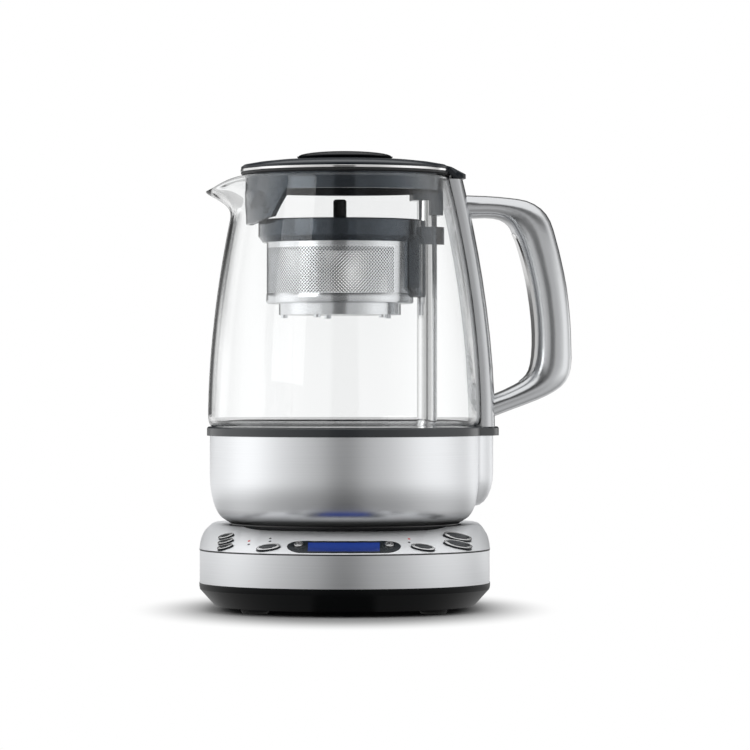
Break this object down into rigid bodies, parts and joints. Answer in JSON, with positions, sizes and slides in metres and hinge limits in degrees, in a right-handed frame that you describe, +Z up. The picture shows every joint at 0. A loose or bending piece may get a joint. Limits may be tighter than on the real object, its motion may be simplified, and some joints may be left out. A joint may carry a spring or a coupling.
{
  "type": "automatic tea maker",
  "caption": "Glass jug with a screw-driven infuser basket, steel heater base and C-shaped handle, standing on a low powered base with a sloped control deck.",
  "frame": {"origin": "on the floor under the middle of the appliance, power base, jug and handle together", "axes": "+Z up; -Y is the front, where the controls are; the handle points to +X, turned 6 degrees to the back, and the spout to -X"},
  "size_m": [0.2212, 0.194, 0.272],
  "materials": {
    "foot_rubber": "matte black rubber",
    "seal_rubber": "black silicone seal",
    "pan_plastic": "fine-grained black plastic",
    "skirt_steel": "horizontally brushed steel",
    "deck_steel": "satin steel",
    "bezel_black": "glossy black",
    "display_blue": "blue display window",
    "switch_black": "moulded black",
    "circuit_board": "green laminate",
    "relay_blue": "moulded blue",
    "coil_yellow": "taped winding",
    "fastener_steel": "zinc plated",
    "light_pipes": "translucent red",
    "button_dark": "dark metallic with a bright edge",
    "button_silver": "silver",
    "shell_steel": "brushed round the jug",
    "jug_glass": "clear",
    "plate_steel": "polished steel",
    "element_metal": "dull metal",
    "handle_steel": "brushed and polished steel",
    "inlay_bright": "polished",
    "post_chrome": "polished",
    "screw_steel": "rolled thread",
    "carriage_plastic": "moulded grey",
    "lid_gloss": "glossy blue-grey",
    "knob_black": "satin black",
    "lid_grey": "moulded blue-grey",
    "basket_steel": "perforated and polished steel",
    "magnet_nickel": "nickel plated"
  },
  "bodies": {
    "power_base": {"rubber_feet": "foot_rubber", "base_pan": "pan_plastic", "base_skirt": "skirt_steel", "control_deck": "deck_steel", "display_bezel": "bezel_black", "display_lens": "display_blue", "display_module": "switch_black", "switch_carrier": "circuit_board", "tact_switches": "switch_black", "indicator_lights": "light_pipes", "connector_socket": "pan_plastic", "power_board": "circuit_board", "mains_relay": "relay_blue", "transformer": "coil_yellow", "cord_gland": "pan_plastic", "base_screws": "fastener_steel"},
    "left_button_upper": {"left_button_upper": "button_dark"},
    "left_button_middle": {"left_button_middle": "button_dark"},
    "left_button_lower": {"left_button_lower": "button_dark"},
    "left_oval_button": {"left_oval_button": "button_dark"},
    "minus_button": {"minus_button": "button_silver"},
    "plus_button": {"plus_button": "button_silver"},
    "right_oval_button": {"right_oval_button": "button_dark"},
    "large_button_upper": {"large_button_upper": "button_dark"},
    "large_button_lower": {"large_button_lower": "button_dark"},
    "jug": {"jug_foot": "pan_plastic", "connector_plug": "pan_plastic", "jug_shell": "shell_steel", "jug_band": "pan_plastic", "glass_seal": "seal_rubber", "glass_jug": "jug_glass", "heater_plate": "plate_steel", "heating_element": "element_metal", "temperature_sensor": "plate_steel", "handle_spine": "handle_steel", "handle_grip": "handle_steel", "grip_inlay": "inlay_bright", "handle_screws": "fastener_steel", "lift_post": "post_chrome", "lift_motor": "element_metal"},
    "lead_screw": {"lead_screw": "screw_steel"},
    "drive_carriage": {"drive_carriage": "carriage_plastic"},
    "lid": {"lid_cover": "lid_gloss", "lid_knob": "knob_black", "lid_trim_ring": "post_chrome", "lid_seal": "seal_rubber", "lid_skirt": "lid_grey", "spout_strainer": "lid_grey", "lid_screws": "fastener_steel"},
    "basket": {"basket_frame": "lid_grey", "basket_drum": "basket_steel", "basket_ring": "basket_steel", "basket_magnets": "magnet_nickel"},
    "basket_lid": {"basket_lid": "basket_steel", "basket_lid_stem": "knob_black"}
  },
  "joints": [
    {"name": "left_button_upper_press", "type": "slide", "parent": "power_base", "child": "left_button_upper", "axis": [0.3923, 0.2919, -0.8723], "range_m": [0, 0.0008], "stiffness_N_per_m": 2500},
    {"name": "left_button_middle_press", "type": "slide", "parent": "power_base", "child": "left_button_middle", "axis": [0.3923, 0.2919, -0.8723], "range_m": [0, 0.0008], "stiffness_N_per_m": 2500},
    {"name": "left_button_lower_press", "type": "slide", "parent": "power_base", "child": "left_button_lower", "axis": [0.3923, 0.2919, -0.8723], "range_m": [0, 0.0008], "stiffness_N_per_m": 2500},
    {"name": "left_oval_button_press", "type": "slide", "parent": "power_base", "child": "left_oval_button", "axis": [0.1829, 0.312, -0.9323], "range_m": [0, 0.0008], "stiffness_N_per_m": 2500},
    {"name": "minus_button_press", "type": "slide", "parent": "power_base", "child": "minus_button", "axis": [0.1001, 0.3157, -0.9436], "range_m": [0, 0.0008], "stiffness_N_per_m": 2500},
    {"name": "plus_button_press", "type": "slide", "parent": "power_base", "child": "plus_button", "axis": [-0.1001, 0.3157, -0.9436], "range_m": [0, 0.0008], "stiffness_N_per_m": 2500},
    {"name": "right_oval_button_press", "type": "slide", "parent": "power_base", "child": "right_oval_button", "axis": [-0.1941, 0.3113, -0.9303], "range_m": [0, 0.0008], "stiffness_N_per_m": 2500},
    {"name": "large_button_upper_press", "type": "slide", "parent": "power_base", "child": "large_button_upper", "axis": [-0.3551, 0.2966, -0.8865], "range_m": [0, 0.0008], "stiffness_N_per_m": 2500},
    {"name": "large_button_lower_press", "type": "slide", "parent": "power_base", "child": "large_button_lower", "axis": [-0.3551, 0.2966, -0.8865], "range_m": [0, 0.0008], "stiffness_N_per_m": 2500},
    {"name": "jug_lift", "type": "slide", "parent": "power_base", "child": "jug", "axis": [0, 0, 1], "range_m": [0, 0.05]},
    {"name": "lid_lift", "type": "slide", "parent": "jug", "child": "lid", "axis": [0, 0, 1], "range_m": [0, 0.04]},
    {"name": "basket_slide", "type": "slide", "parent": "jug", "child": "basket", "axis": [0, 0, 1], "range_m": [-0.058, 0]},
    {"name": "basket_lid_lift", "type": "slide", "parent": "basket", "child": "basket_lid", "axis": [0, 0, 1], "range_m": [0, 0.01]},
    {"name": "carriage_slide", "type": "slide", "parent": "jug", "child": "drive_carriage", "axis": [0, 0, 1], "range_m": [-0.0581, 0.0001]},
    {"name": "lead_screw_turn", "type": "hinge", "parent": "jug", "child": "lead_screw", "pos_m": [0.02441, 0.00815, 0.17], "axis": [0, 0, 1], "range_deg": [-2611, 1]}
  ],
  "couplings": [
    {"joint": "carriage_slide", "follows": "basket_slide", "ratio": 1},
    {"joint": "lead_screw_turn", "follows": "basket_slide", "rad_per_m": 785.4}
  ]
}
